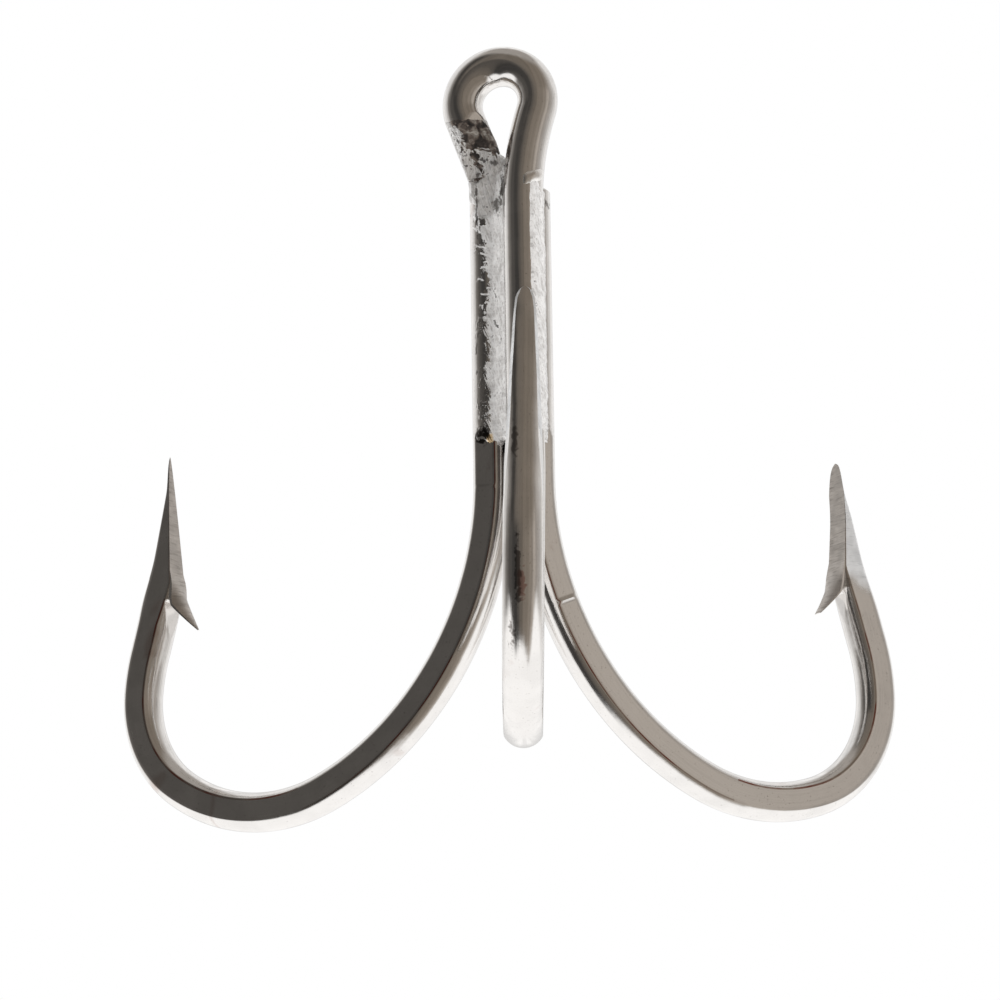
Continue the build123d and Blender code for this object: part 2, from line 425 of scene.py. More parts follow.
def ground_metal(name, shade, warmth, metallic=1.0, foot=None):
    """Steel ground across, as a point is. Below foot mm it runs out into the bright flat."""
    n, place = start_material(name)
    cloud = noise_of(n, place, 500.0, 3.0)
    cuts = noise_of(n, place, (500.0, 500.0, 7000.0), 3.0)
    colour = n.mix(n.sway(cloud, 0.0, 1.0), grey(shade * 0.86, warmth), grey(shade * 1.08, warmth))
    colour = n.mix(n.span(cuts, 0.56, 0.70, 0.0, 0.5), colour, grey(shade * 0.6, warmth))
    rough = n.sway(cuts, 0.38, 0.58)
    if foot is not None:
        # Only the lighter copy that paints a highlight on a point's side has a foot; below it that
        # painted highlight runs out into the flat.
        # The border slants, is ragged and fades over about 3 mm.
        spot = n.xyz(place)
        level = n.plus(spot["Z"], n.times(spot["X"], 0.53))
        level = n.plus(level, n.sway(cloud, -0.4 * MM, 0.4 * MM))
        still_ground = n.span(level, (foot - 1.6) * MM, (foot + 1.4) * MM)
        colour = n.mix(still_ground, grey(0.84, 0.02), colour)
        rough = n.blend(still_ground, 0.16, rough)
        metallic = n.span(still_ground, 0.0, 1.0, 1.0, metallic)
    normal = bumps(n, [(cuts, 0.4, 0.02), (cloud, 0.12, 0.05)])
    return finish_metal(n, colour, metallic, rough, normal)


def painted_reflection_edge(name):
    """A reddish reflection line, painted on the chamfers beside the forged flats."""
    n, place = start_material(name)
    cloud = noise_of(n, place, 260.0, 4.0)
    colour = n.mix(n.span(cloud, 0.38, 0.62), (0.55, 0.50, 0.46, 1), (0.33, 0.14, 0.11, 1))
    rough = n.sway(cloud, 0.22, 0.45)
    return finish_metal(n, colour, 1.0, rough, bumps(n, [(noise_of(n, place, 2500.0), 0.3, 0.02)]))


# Shift, in m, from the middle of the arc-shaped scratches to the sheet's origin.
ARC_CENTRE = (-0.0050, 0.0095, 0.0)


def braze_metal(name, dark_share, pitted, shade, metal, bare_to=None):
    """Satin tin and braze: brushed, streaked and pitted, with patches of burnt flux.

    Across the sheet, up to bare_to mm, the wire shows through with only arc scratches.
    """
    n, place = start_material(name)
    sheet = n.add("UVMap", uv_map="wire").outputs[0]
    spread = n.xyz(sheet)
    cloud = noise_of(n, place, 420.0, 6.0, 0.4)
    ragged = noise_of(n, place, 800.0, 8.0, 0.8)
    grain = noise_of(n, place, 4600.0, 5.0)
    slant = n.add("Mapping", {"Vector": sheet, "Rotation": (0.0, 0.0, -0.30)})
    brushed = noise_of(n, slant.outputs[0], (6500.0, 620.0, 1.0), 5.0, 0.25)
    pit = n.add("TexVoronoi", {"Vector": place, "Scale": 1300.0}).outputs["Distance"]
    pits = n.times(n.span(pit, 0.30, 0.14), n.span(ragged, 0.47, 0.58, 0.0, pitted))
    sweep = n.add("Mapping", {"Vector": sheet, "Location": ARC_CENTRE})
    arcs = n.add("TexWave", {
        "Vector": sweep.outputs[0], "Scale": 420.0, "Distortion": 3.0, "Detail": 4.0,
        "Detail Scale": 1.5,
    }, wave_type="RINGS", rings_direction="Z").outputs["Fac"]
    colour = n.mix(n.span(ragged, 0.36, 0.62), grey(shade * 0.72, 0.02), grey(shade, 0.01))
    for pattern, low, high, share, tint in (
        (grain, 0.52, 0.70, 0.40, grey(0.34, 0.04)),
        (brushed, 0.54, 0.68, 0.50, grey(0.28, 0.06)),
        (brushed, 0.48, 0.36, 0.65, grey(1.0)),
        (arcs, 0.80, 0.98, 0.30, grey(1.0)),
    ):
        colour = n.mix(n.span(pattern, low, high, 0.0, share), colour, tint)
    burnt = n.span(ragged, 0.665 - dark_share, 0.70 - dark_share)
    colour = n.mix(n.times(burnt, 0.9), colour, (0.035, 0.029, 0.025, 1))
    colour = n.mix(n.times(pits, 0.85), colour, (0.06, 0.05, 0.045, 1))
    rough = n.sway(grain, 0.28, 0.48)
    metallic = n.span(burnt, 0.0, 1.0, metal, 0.10)
    if bare_to is not None:
        border = n.plus(spread["X"], n.sway(cloud, -0.45 * MM, 0.45 * MM))
        border = n.plus(border, n.sway(brushed, -0.25 * MM, 0.25 * MM))
        # Higher up the bare strip narrows, and it ends below the web.
        narrowing = n.span(spread["Y"], -18.0 * MM, -12.0 * MM, 0.0, 1.9 * MM)
        border = n.plus(border, narrowing)
        bare = n.span(border, (bare_to + 0.22) * MM, (bare_to - 0.22) * MM)
        lower = n.plus(spread["Y"], n.sway(ragged, -1.6 * MM, 1.6 * MM))
        bare = n.times(bare, n.span(lower, -11.0 * MM, -12.6 * MM))
        scratched = n.times(n.span(arcs, 0.66, 0.92),
                            n.span(spread["Y"], -27.0 * MM, -21.0 * MM))
        dusty = n.span(grain, 0.60, 0.68, 0.0, 0.45)
        hidden = n.math("MAXIMUM", n.times(scratched, 0.85), dusty)
        bare = n.times(bare, n.minus(1.0, hidden))
        colour = n.mix(bare, colour, grey(0.72, 0.02))
        rough = n.blend(bare, rough, 0.14)
        metallic = n.math("MAXIMUM", metallic, bare)
        # A gilt spot lies at the foot of the run.
        height = n.xyz(place)["Z"]
        gilt = n.times(n.span(height, (BRAZE_BOTTOM + 0.9) * MM, (BRAZE_BOTTOM + 0.5) * MM),
                       n.times(n.span(spread["X"], 1.10 * MM, 1.30 * MM),
                               n.span(spread["X"], 1.95 * MM, 1.70 * MM)))
        colour = n.mix(n.times(gilt, 0.8), colour, (0.80, 0.55, 0.25, 1))
    colour = stained_and_shaded(n, place, colour)
    normal = bumps(n, [
        (cloud, 0.40, 0.25), (ragged, 0.30, 0.08), (brushed, 0.45, 0.03), (grain, 0.45, 0.03),
        (pits, -0.8, 0.08),
    ])
    return finish_metal(n, colour, metallic, rough, normal)


def crust_stuff(name):
    """Burnt flux: black-brown and rough, with grey flecks and a few bare glints."""
    n, place = start_material(name)
    cloud = noise_of(n, place, 900.0, 6.0, 0.8)
    grain = noise_of(n, place, 4200.0, 4.0)
    colour = n.ramp(cloud, [
        (0.30, (0.020, 0.016, 0.014, 1)), (0.46, (0.045, 0.034, 0.028, 1)),
        (0.54, (0.13, 0.10, 0.08, 1)), (0.62, (0.38, 0.35, 0.32, 1)),
        (0.72, (0.75, 0.73, 0.70, 1)),
    ])
    rough = n.span(cloud, 0.45, 0.65, 0.62, 0.30)
    metallic = n.span(cloud, 0.52, 0.62, 0.0, 0.8)
    normal = bumps(n, [(cloud, 1.0, 0.30), (grain, 0.8, 0.06)])
    return finish_metal(n, colour, metallic, rough, normal)


polished = wire_metal(
    "polished_wire", shade=0.82, roughness=0.12, wave=0.45, drawn=0.45, speck=0.5)
flat_face = wire_metal(
    "forged_flat", shade=0.84, roughness=0.16, wave=0.16, drawn=0.22, speck=0.7)
ground = ground_metal("ground_point", shade=0.54, warmth=0.07)
# The next two are lighter, partly diffuse copies of the ground steel for the sides of the points:
# a painted highlight, which on the right prong runs out into the flat.
ground_highlight = ground_metal("ground_side", shade=0.80, warmth=-0.01, metallic=0.65)
ground_highlight_fading = ground_metal(
    "ground_highlight_run_out", shade=0.86, warmth=-0.015, metallic=0.55, foot=-30.6)
# A reddish reflection line, painted on the chamfers beside the flats.
edge = painted_reflection_edge("painted_reflection_line")
alloy = braze_metal("braze_satin", dark_share=-0.03, pitted=0.3, shade=1.0, metal=0.30)
alloy_low = braze_metal(
    "braze_front_seam", dark_share=0.0, pitted=0.4, shade=0.95, metal=0.45, bare_to=1.40)
alloy_eye = braze_metal("braze_web", dark_share=0.02, pitted=0.5, shade=0.84, metal=0.60)
alloy_pitted = braze_metal("braze_pitted", dark_share=0.08, pitted=1.0, shade=0.85, metal=0.60)
bead_alloy = wire_metal(
    "braze_bead", shade=0.98, roughness=0.32, wave=0.9, drawn=0.1, speck=0.3)
crust = crust_stuff("burnt_flux")


# ---------------------------------------------------------------- swept wire
def turned(azimuth_degrees):
    """Outward and sideways directions of a prong's plane."""
    turn = radians(azimuth_degrees)
    outward = np.array([sin(turn), -cos(turn), 0.0])
    side = np.array([-cos(turn), -sin(turn), 0.0])
    return outward, side


LINE_STEP = 0.2


def prong_line(prong):
    """Stations in the prong's plane: r, z, heading and distance left to the tip."""
    step = LINE_STEP
    stations = []
    straight = prong.top - BEND_START
    count = max(2, int(straight / (3 * step)))
    for index in range(count):
        stations.append((0.0, prong.top - straight * index / count, 0.0))
    r, z, heading = 0.0, BEND_START, 0.0
    arcs = [(radius, radians(turn)) for radius, turn in zip(BEND_RADII, prong.turns)]
    set_back = radians(prong.set_back)
    arcs.append((-prong.point / set_back, -set_back))
    for radius, turn in arcs:
        centre_r = r + radius * cos(heading)
        centre_z = z + radius * sin(heading)
        count = int(abs(radius * turn) / (step if heading < 1.0 else 1.5 * step))
        for index in range(count):
            now = heading + turn * index / count
            stations.append(
                (centre_r - radius * cos(now), centre_z - radius * sin(now), now))
        heading += turn
        r = centre_r - radius * cos(heading)
        z = centre_z - radius * sin(heading)
    stations.append((r, z, heading))
    table = np.array(stations)
    steps = np.hypot(np.diff(table[:, 0]), np.diff(table[:, 1]))
    to_tip = np.concatenate([np.cumsum(steps[::-1])[::-1], [0.0]])
    return table[:, 0], table[:, 1], table[:, 2], to_tip


OUTER_COUNT = 25
SIDE_COUNT = 7
RING = 2 * (OUTER_COUNT + SIDE_COUNT)
OUTER_CORNER = 0.10
INNER_CORNER = 0.16
# Shares of the wire's radius that flats may reach, so that no face shrinks to nothing.
ACROSS_LIMIT = 0.9999
DEPTH_LIMIT = 0.998
DIE_MARK_SPREAD = 0.011
# Round the bend the painted reddish reflection line changes from the outer corner of the
# flats to the inner.
REFLECTION_LINE_TURN = radians(75.0)
# A point's sides start to close in this far before its ground face.
POINT_RUN = 3.0
# The slip of the barb leaves a hollow behind the ground face.
SCOOP_PAST_BARB = 0.6
SCOOP_POWER = 1.4
# From the tip: where the hollow of the back is full, where it starts to fade and how long
# it takes, and how far up the sideways lean of the tip reaches.
HOLLOW_FULL = 5.0
HOLLOW_KEPT = 12.5
HOLLOW_FADE = 7.0
LEAN_REACH = 8.0
# The flats show from this share of their depth, and the ground face ends GROUND_LIP short.
FORGED_FROM = 0.02
GROUND_LIP = 0.2
# The front wire starts to twist towards its eye this far above the bend.
TWIST_START = 4.0

# Materials of the wires, in the order of WIRE_MATERIALS.
POLISHED, FLAT, GROUND, REFLECTION_LINE, GROUND_HIGHLIGHT, PITTED = range(6)


def smooth_step(x):
    x = min(1.0, max(0.0, x))
    return x * x * (3 - 2 * x)


def spaced(start, end, count):
    return [start + (end - start) * index / (count - 1) for index in range(count)]


def section(flat, inner, trim=0.0, back=WIRE_R):
    """A round bar cut by flats at +-flat across and by a plane at inner along its depth.

    Depth runs from the inside of the bend (-) to the outside (+). The outer surface is
    set back by trim, and is only +-back wide where the sides are ground to slant. Returns
    (depth, across) points, with each corner broken by a small chamfer.
    """
    radius = WIRE_R
    flat = min(flat, radius * ACROSS_LIMIT)
    inner = min(max(inner, -radius), (radius - trim) * DEPTH_LIMIT)

    def outer_depth(across):
        return sqrt(max(0.0, radius ** 2 - across ** 2)) - trim

    if inner > outer_depth(flat):
        flat = sqrt(max(1e-6, radius ** 2 - (inner + trim) ** 2))
    back = min(back, flat)
    edge_depth = outer_depth(back)
    low = max(-sqrt(radius ** 2 - flat ** 2), inner)
    back_half = asin(min(1.0, back / radius))
    half = asin(min(1.0, flat / radius))
    backs = [radius * sin(a) for a in spaced(-back_half, back_half, OUTER_COUNT)]
    outer = [(outer_depth(across), across) for across in backs]
    up = list(zip(spaced(edge_depth, low, SIDE_COUNT), spaced(back, flat, SIDE_COUNT)))
    angles = spaced(half, -half, OUTER_COUNT)
    inside = [(max(-radius * cos(a), inner), radius * sin(a)) for a in angles]
    down = [(depth, -across) for depth, across in reversed(up)]
    pieces = []
    corners = (
        (outer, OUTER_CORNER, OUTER_CORNER), (up, OUTER_CORNER, INNER_CORNER),
        (inside, INNER_CORNER, INNER_CORNER), (down, INNER_CORNER, OUTER_CORNER),
    )
    for piece, first, last in corners:
        piece = np.array(piece)
        for end, beside, corner in ((0, 1, first), (-1, -2, last)):
            gap = piece[beside] - piece[end]
            length = np.linalg.norm(gap)
            if length > 1e-9:
                piece[end] += gap / length * min(corner, 0.4 * length)
        pieces.append(piece)
    return np.concatenate(pieces)


def ring_kinds(side, inner, outer_corner, inner_corner):
    """Material index of each face round a ring, in the order that section() gives."""
    wide = OUTER_COUNT - 1
    flank = [side] * (SIDE_COUNT - 1)
    kinds = [POLISHED] * wide + [outer_corner] + flank + [inner_corner]
    return kinds + [inner] * wide + [inner_corner] + flank + [outer_corner]


WELD_DISTANCE = 0.002


def mesh_piece(name, points, faces, kinds, materials, uvs, sharp=32.0):
    """Make a smooth-shaded object from points and UVs in mm; edges over sharp degrees show."""
    mesh = bpy.data.meshes.new(name)
    mesh.from_pydata([tuple(p * MM) for p in points], [], faces)
    for material in materials:
        mesh.materials.append(material)
    mesh.polygons.foreach_set("material_index", kinds)
    layer = mesh.uv_layers.new(name="wire")
    layer.data.foreach_set("uv", np.array(uvs, dtype=float).ravel() * MM)
    tidy = bmesh.new()
    tidy.from_mesh(mesh)
    bmesh.ops.remove_doubles(tidy, verts=tidy.verts, dist=WELD_DISTANCE * MM)
    bmesh.ops.recalc_face_normals(tidy, faces=tidy.faces)
    tidy.to_mesh(mesh)
    tidy.free()
    mesh.polygons.foreach_set("use_smooth", [True] * len(mesh.polygons))
    mesh.set_sharp_from_angle(angle=radians(sharp))
    piece = place_in_scene(name, mesh)
    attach(piece, "root")
    return piece


def ring_mesh(rings):
    """Quads between successive closed rings, with both ends closed, and their UVs in mm."""
    points = np.concatenate(rings)
    size = len(rings[0])
    centres = [ring.mean(axis=0) for ring in rings]
    along = [0.0]
    for here, there in zip(centres, centres[1:]):
        along.append(along[-1] + float(np.linalg.norm(there - here)))
    faces = []
    uvs = []
    around = 2 * pi * WIRE_R / size
    for row in range(len(rings) - 1):
        base = row * size
        for k in range(size):
            after = (k + 1) % size
            faces.append((base + k, base + after, base + size + after, base + size + k))
            left, right = k * around, (k + 1) * around
            here, there = along[row], along[row + 1]
            uvs += [(left, here), (right, here), (right, there), (left, there)]
    faces.append(tuple(range(size))[::-1])
    last = (len(rings) - 1) * size
    faces.append(tuple(range(last, last + size)))
    uvs += [(0.0, 0.0)] * (2 * size)
    return points, faces, uvs


ROOT_CLEARANCE = 0.12


def face_line(prong, line):
    """The ground face in the prong's plane: from the tip to the barb's root."""
    rs, zs, headings, to_tip = line

    def outer_dir(heading):
        return np.array([-cos(heading), -sin(heading)])

    root_at = int(np.argmin(abs(to_tip - prong.grind)))
    tip = np.array([rs[-1], zs[-1]]) + outer_dir(headings[-1]) * WIRE_R
    root_depth = outer_dir(headings[root_at]) * (WIRE_R + ROOT_CLEARANCE)
    root = np.array([rs[root_at], zs[root_at]]) - root_depth
    down = (root - tip) / np.linalg.norm(root - tip)
    out = np.array([-down[1], down[0]])
    if out @ outer_dir(headings[root_at]) < 0:
        out = -out
    return tip, root, down, out


def half_width(prong, left):
    """Half the width of a point, so far from its tip."""
    share = min(1.0, max(0.0, left / (prong.grind + POINT_RUN))) ** prong.taper
    return prong.tip_half + (prong.flat - prong.tip_half) * share


def make_prong(prong, twist=0.0):
    """Rings of one prong from the top of its shank to its tip, and its faces' materials."""
    outward, level_side = turned(prong.azimuth)
    tilt = radians(prong.tilt)
    side = level_side * cos(tilt) + UP * sin(tilt)
    up = UP * cos(tilt) - level_side * sin(tilt)
    foot = np.array([prong.xy[0], prong.xy[1], BEND_START])
    base = foot - up * BEND_START
    line = prong_line(prong)
    tip, _, _, face_out = face_line(prong, line)
    grind = prong.grind
    scoop_length = prong.barb_drop + SCOOP_PAST_BARB
    twist_length = prong.top - BEND_START - TWIST_START
    # The sides of the point take the lighter copy, a painted highlight, where the prong asks for
    # it.
    ground_side = GROUND_HIGHLIGHT if prong.ground_side else FLAT
    rings = []
    kinds = []
    for r, z, heading, left in zip(*line):
        on_shank = heading == 0
        depth_dir = np.array([-cos(heading), -sin(heading)])
        forged = 1.0 if heading > 0 else smooth_step((FLAT_START - z) / FLAT_RUN_OUT + FLAT_STEP)
        flat = WIRE_R + (prong.flat - WIRE_R) * forged
        marked = abs(heading - prong.die_mark) / DIE_MARK_SPREAD
        if heading > 0 and marked < 1:
            flat += prong.die_ridge * (1 - smooth_step(marked))
        inner = -WIRE_R
        if left < grind:
            inner = ((tip - np.array([r, z])) @ face_out) / (depth_dir @ face_out)
        elif left < grind + scoop_length:
            scoop = 1 - (left - grind) / scoop_length
            inner += prong.root_depth * scoop ** SCOOP_POWER
        if left < grind + POINT_RUN:
            flat = min(flat, half_width(prong, left))
        fading = 1 - smooth_step((left - HOLLOW_KEPT) / HOLLOW_FADE)
        trim = prong.hollow * smooth_step(left / HOLLOW_FULL) * fading
        back = WIRE_R
        if prong.back and left < prong.back[-1][0]:
            back = float(np.interp(left, *zip(*prong.back)))
        ring = section(flat, inner, trim, back)
        if on_shank:
            point = foot + UP * (z - BEND_START)
            depth3 = -outward
            side3 = level_side
        else:
            lean = prong.lean * (1 - smooth_step(left / LEAN_REACH))
            point = base + outward * r + up * z + side * lean
            depth3 = outward * depth_dir[0] + up * depth_dir[1]
            side3 = side
        if on_shank and twist:
            share = smooth_step((z - BEND_START - TWIST_START) / twist_length)
            turn = Matrix.Rotation(-twist * share, 3, "Z")
            depth3 = np.array(turn @ Vector(depth3))
            side3 = np.array(turn @ Vector(side3))
        rings.append(point + ring[:, :1] * depth3 + ring[:, 1:] * side3)
        if forged < FORGED_FROM:
            kinds += ring_kinds(POLISHED, POLISHED, POLISHED, POLISHED)
        elif left < grind - GROUND_LIP:
            kinds += ring_kinds(ground_side, GROUND, ground_side, GROUND)
        # Past the ground face the sides keep the painted highlight for side_run mm.
        elif left < grind + prong.side_run:
            kinds += ring_kinds(GROUND_HIGHLIGHT, POLISHED, GROUND_HIGHLIGHT, REFLECTION_LINE)
        elif heading < REFLECTION_LINE_TURN:
            kinds += ring_kinds(FLAT, POLISHED, REFLECTION_LINE, POLISHED)
        else:
            kinds += ring_kinds(FLAT, POLISHED, POLISHED, REFLECTION_LINE)
    place = Values(base=base, outward=outward, side=side, up=up)
    return rings, kinds[:-RING], place


TOP_CHAMFER = 0.86


def close_top(rings, kinds):
    """Break the edge of a cut end."""
    ring = rings[0]
    centre = ring.mean(axis=0)
    rings[0] = ring + (rings[1].mean(axis=0) - centre) * 0.5
    rings.insert(0, centre + (ring - centre) * TOP_CHAMFER)
    kinds[:0] = [POLISHED] * RING


# The slip of a barb starts BARB_TAIL above its root, and turns off at BARB_TURN along and
# in from it. BARB_EDGE is left of its thickness at its tip.
BARB_STATIONS = 34
BARB_COLUMNS = 11
BARB_TAIL = 4.0
BARB_TURN = (1.1, 0.45)
BARB_TAPER = 0.95
BARB_BODY = 0.35
BARB_EDGE = 0.07
BARB_CROWN = 0.8
BARB_LIFT = 0.02


def make_barb(name, prong, place):
    """The slip of wire cut loose behind the point, lifted inwards and drawn to an edge."""
    _, root, down, out = face_line(prong, prong_line(prong))
    start = root - down * BARB_TAIL
    end = root + down * prong.barb_drop - out * prong.barb_reach
    bend = root - down * BARB_TURN[0] - out * BARB_TURN[1]
    rings = []
    kinds = []
    for t in spaced(0.0, 1.0, BARB_STATIONS):
        spine = start * (1 - t) ** 2 + bend * 2 * t * (1 - t) + end * t ** 2
        slope = (bend - start) * (1 - t) + (end - bend) * t
        slope /= np.linalg.norm(slope)
        inward = np.array([slope[1], -slope[0]])
        if inward @ out > 0:
            inward = -inward
        below = (spine - root) @ down
        past = min(1.0, max(0.0, below / prong.barb_drop))
        body = half_width(prong, prong.grind + below)
        half = (body - 0.04) * (1 - past) ** BARB_TAPER + prong.barb_blunt * past
        rise = smooth_step((below + BARB_TAIL) / BARB_TAIL)
        thick = (prong.root_depth + BARB_BODY) * rise * (1 - past) + BARB_EDGE
        drop = BARB_CROWN * thick * rise
        ring = []
        for face, spread in (("top", 1.0), ("under", -1.0)):
            for column in range(BARB_COLUMNS):
                across = half * spread * (2 * column / (BARB_COLUMNS - 1) - 1)
                depth = BARB_LIFT - drop * (across / half) ** 2
                if face == "under":
                    depth = -thick - BARB_LIFT
                spot = spine + inward * depth
                level = place.base + place.outward * spot[0] + place.up * spot[1]
                ring.append(level + place.side * across)
        rings.append(np.array(ring))
        kinds += [0] * (BARB_COLUMNS - 1) + [1] * (BARB_COLUMNS + 1)
    points, faces, uvs = ring_mesh(rings)
    kinds = kinds[:-2 * BARB_COLUMNS] + [1, 1]
    materials = [ground, flat_face]
    return mesh_piece(name, points, faces, kinds, materials, uvs, sharp=38.0)


CUT_LIMIT = 0.85


def cut_back(ring, depth):
    """Lay the part of a ring that lies in front of the slanting cut on to the cut."""
    length = hypot(1.0, SCARF_LEAN)
    normal = np.array([-1.0, SCARF_LEAN]) / length
    along = np.array([SCARF_LEAN, 1.0]) / length
    height = max(-depth / length, -CUT_LIMIT * WIRE_R)
    if height >= WIRE_R:
        return
    half_angle = acos(height / WIRE_R)
    angles = np.arctan2(ring @ along, ring @ normal)
    front = np.abs(angles) < half_angle
    chord = WIRE_R * sin(half_angle) * angles / half_angle
    ring[front] = (height * normal + np.outer(chord, along))[front]


TAIL_STATIONS = 40
LOOP_STATIONS = 100
LEAD_STATIONS = 26


def eye_rings():
    """Rings of the front wire from its cut end round the loop, and their materials."""
    stations = []
    close_dir = np.array([-sin(CLOSE_TURN), -cos(CLOSE_TURN)])
    loop_centre = np.array([LOOP_OFFSET, 0.0])
    loop_end = loop_centre + EYE_RADIUS * np.array([cos(CLOSE_TURN), -sin(CLOSE_TURN)])
    for index in range(TAIL_STATIONS):
        back = EYE_TAIL * (1 - index / TAIL_STATIONS)
        stations.append((loop_end + close_dir * back, -close_dir))
    total = LEAD_TURN + pi + CLOSE_TURN
    for index in range(LOOP_STATIONS):
        angle = -CLOSE_TURN + total * index / LOOP_STATIONS
        spot = loop_centre + EYE_RADIUS * np.array([cos(angle), sin(angle)])
        stations.append((spot, np.array([-sin(angle), cos(angle)])))
    for index in range(LEAD_STATIONS):
        angle = LEAD_TURN * (1 - index / LEAD_STATIONS)
        across = -LEAD_RADIUS * (1 - cos(angle))
        spot = np.array([across, -LOOP_RISE + LEAD_RADIUS * sin(angle)])
        stations.append((spot, np.array([sin(angle), -cos(angle)])))
    rings = []
    kinds = []
    for spot, travel in stations:
        on_tail = spot[0] > LOOP_OFFSET and spot[1] < SCARF_TOP + 0.2
        kinds += [PITTED if on_tail else POLISHED] * RING
        across = EYE_ACROSS * -travel[1] + UP * travel[0]
        ring = section(WIRE_R, -WIRE_R)
        if spot[0] > LOOP_OFFSET and spot[1] < 0:
            cut_back(ring, scarf_depth(spot[1]))
        point = eye_point(spot[0], spot[1], 0.0)
        rings.append(point + ring[:, :1] * EYE_NORMAL + ring[:, 1:] * across)
    return rings, kinds


def eye_point(across, z, depth):
    """A point of the eye: across and up from the foot of the front wire, and in depth."""
    foot = np.array([FRONT_XY[0], FRONT_XY[1], 0.0])
    return foot + EYE_ACROSS * across + UP * z + EYE_NORMAL * depth


def scarf_depth(z, outward=0.0):
    """Depth of the slanting cut, which also leans back towards the eye's hole."""
    return -WIRE_R + tan(SCARF_ANGLE) * (SCARF_TOP - z) - SCARF_LEAN * outward


def cut_reach(z):
    """How far the cut end still reaches towards the eye's hole."""
    depth = scarf_depth(z)
    lean = 1 + SCARF_LEAN ** 2
    edge = (-depth * SCARF_LEAN + sqrt(max(0.0, lean * WIRE_R ** 2 - depth ** 2))) / lean
    return min(WIRE_R, edge) if depth < 0.9 * WIRE_R else WIRE_R


def tail_across(z):
    """Where the middle of the eye's cut end is, across from the front wire."""
    loop_end_z = -EYE_RADIUS * sin(CLOSE_TURN)
    if z > loop_end_z:
        return LOOP_OFFSET + sqrt(EYE_RADIUS ** 2 - z ** 2)
    return LOOP_OFFSET + EYE_RADIUS * cos(CLOSE_TURN) - tan(CLOSE_TURN) * (loop_end_z - z)


WIRE_MATERIALS = [polished, flat_face, ground, edge, ground_highlight, alloy_pitted]

for name, prong in PRONGS.items():
    materials = list(WIRE_MATERIALS)
    rings, kinds, place = make_prong(prong, EYE_TURN if name == "front" else 0.0)
    if name == "front":
        eye, eye_kinds = eye_rings()
        rings = eye + rings
        kinds = eye_kinds + kinds
    else:
        close_top(rings, kinds)
    if name == "right":
        # On the right prong the painted highlight on the sides runs out into the flat.
        materials[GROUND_HIGHLIGHT] = ground_highlight_fading
    points, faces, uvs = ring_mesh(rings)
    kinds += [POLISHED, GROUND]
    piece = mesh_piece(name + "_wire", points, faces, kinds, materials, uvs)
    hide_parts(name + "_hook")
    make_barb(name + "_barb", prong, place)


# ---------------------------------------------------------------- braze
def rough(x, y, z, scale, octaves=5):
    """Repeatable rough noise, about -1 to 1, with features 1 / scale mm across."""
    return noise.fractal(Vector((x, y, z)) * scale, 0.9, 2.1, octaves)


def blend_max(a, b, soft):
    """The larger of two heights, with a fillet of about soft mm where they cross."""
    return 0.5 * (a + b + sqrt((a - b) ** 2 + soft ** 2))


def dome(offset):
    """Height of a wire's surface at an offset from its middle."""
    return sqrt(max(0.0, WIRE_R ** 2 - offset ** 2))


SHELL_SHARP = 60.0


def shell(name, rows, cols, front, inward, thickness, materials, kind=None):
    """A closed lump: front(u, v) gives its face's points and their distance across.

    Its back lies thickness mm inward. kind(u, v) picks the material of a part of the face.
    """
    grid = [[front(i / (rows - 1), j / (cols - 1)) for j in range(cols)] for i in range(rows)]
    face = np.array([[spot for spot, across in line] for line in grid])
    sheet = [(across, spot[2]) for line in grid for spot, across in line]
    back = face + np.array(inward) * thickness
    points = np.concatenate([face.reshape(-1, 3), back.reshape(-1, 3)])
    half = rows * cols
    faces = []
    kinds = []
    for i in range(rows - 1):
        for j in range(cols - 1):
            a = i * cols + j
            quad = (a, a + 1, a + cols + 1, a + cols)
            faces.append(quad)
            faces.append(tuple(half + k for k in reversed(quad)))
            kinds += [kind(i / (rows - 1), j / (cols - 1)) if kind else 0] * 2
    rim = [(0, j) for j in range(cols)] + [(i, cols - 1) for i in range(1, rows)]
    rim += [(rows - 1, j) for j in range(cols - 2, -1, -1)]
    rim += [(i, 0) for i in range(rows - 2, 0, -1)]
    rim = [i * cols + j for i, j in rim]
    for a, b in zip(rim, rim[1:] + rim[:1]):
        faces.append((a, b, half + b, half + a))
        kinds.append(0)
    uvs = [sheet[k % half] for quad in faces for k in quad]
    return mesh_piece(name, points, faces, kinds, materials, uvs, SHELL_SHARP)


def edge_fade(u, width):
    """0 on the border of a sheet and 1 further in than width."""
    return smooth_step(min(u, 1 - u) / width)


# Each seam: the wires that it lies between, where it starts beside the first one's middle,
# lower down and at its top, and where it ends beside the second's, how far out it fills
# the groove, its top, its film on the wires, its lumps, its ragged edge and its material.
SEAMS = {
    "front": Values(
        between=("left", "front"), start=-0.45, top_start=-1.45, end=1.20, fill=1.45, top=-8.0,
        film=0.07, lump=0.07, ragged=0.12, material=alloy_low,
    ),
    "right": Values(
        between=("front", "right"), start=-2.04, top_start=-2.04, end=1.20, fill=1.65, top=-9.7,
        film=0.10, lump=0.03, ragged=0.05, material=alloy,
    ),
    "rear": Values(
        between=("right", "left"), start=0.80, top_start=0.80, end=0.80, fill=1.70, top=-9.9,
        film=0.05, lump=0.08, ragged=0.22, material=alloy,
    ),
}
# A seam's start changes over between these two levels.
START_CHANGES = (-12.5, -15.5)
SEAM_SINK = 0.12
SEAM_RIM_DROP = 0.22


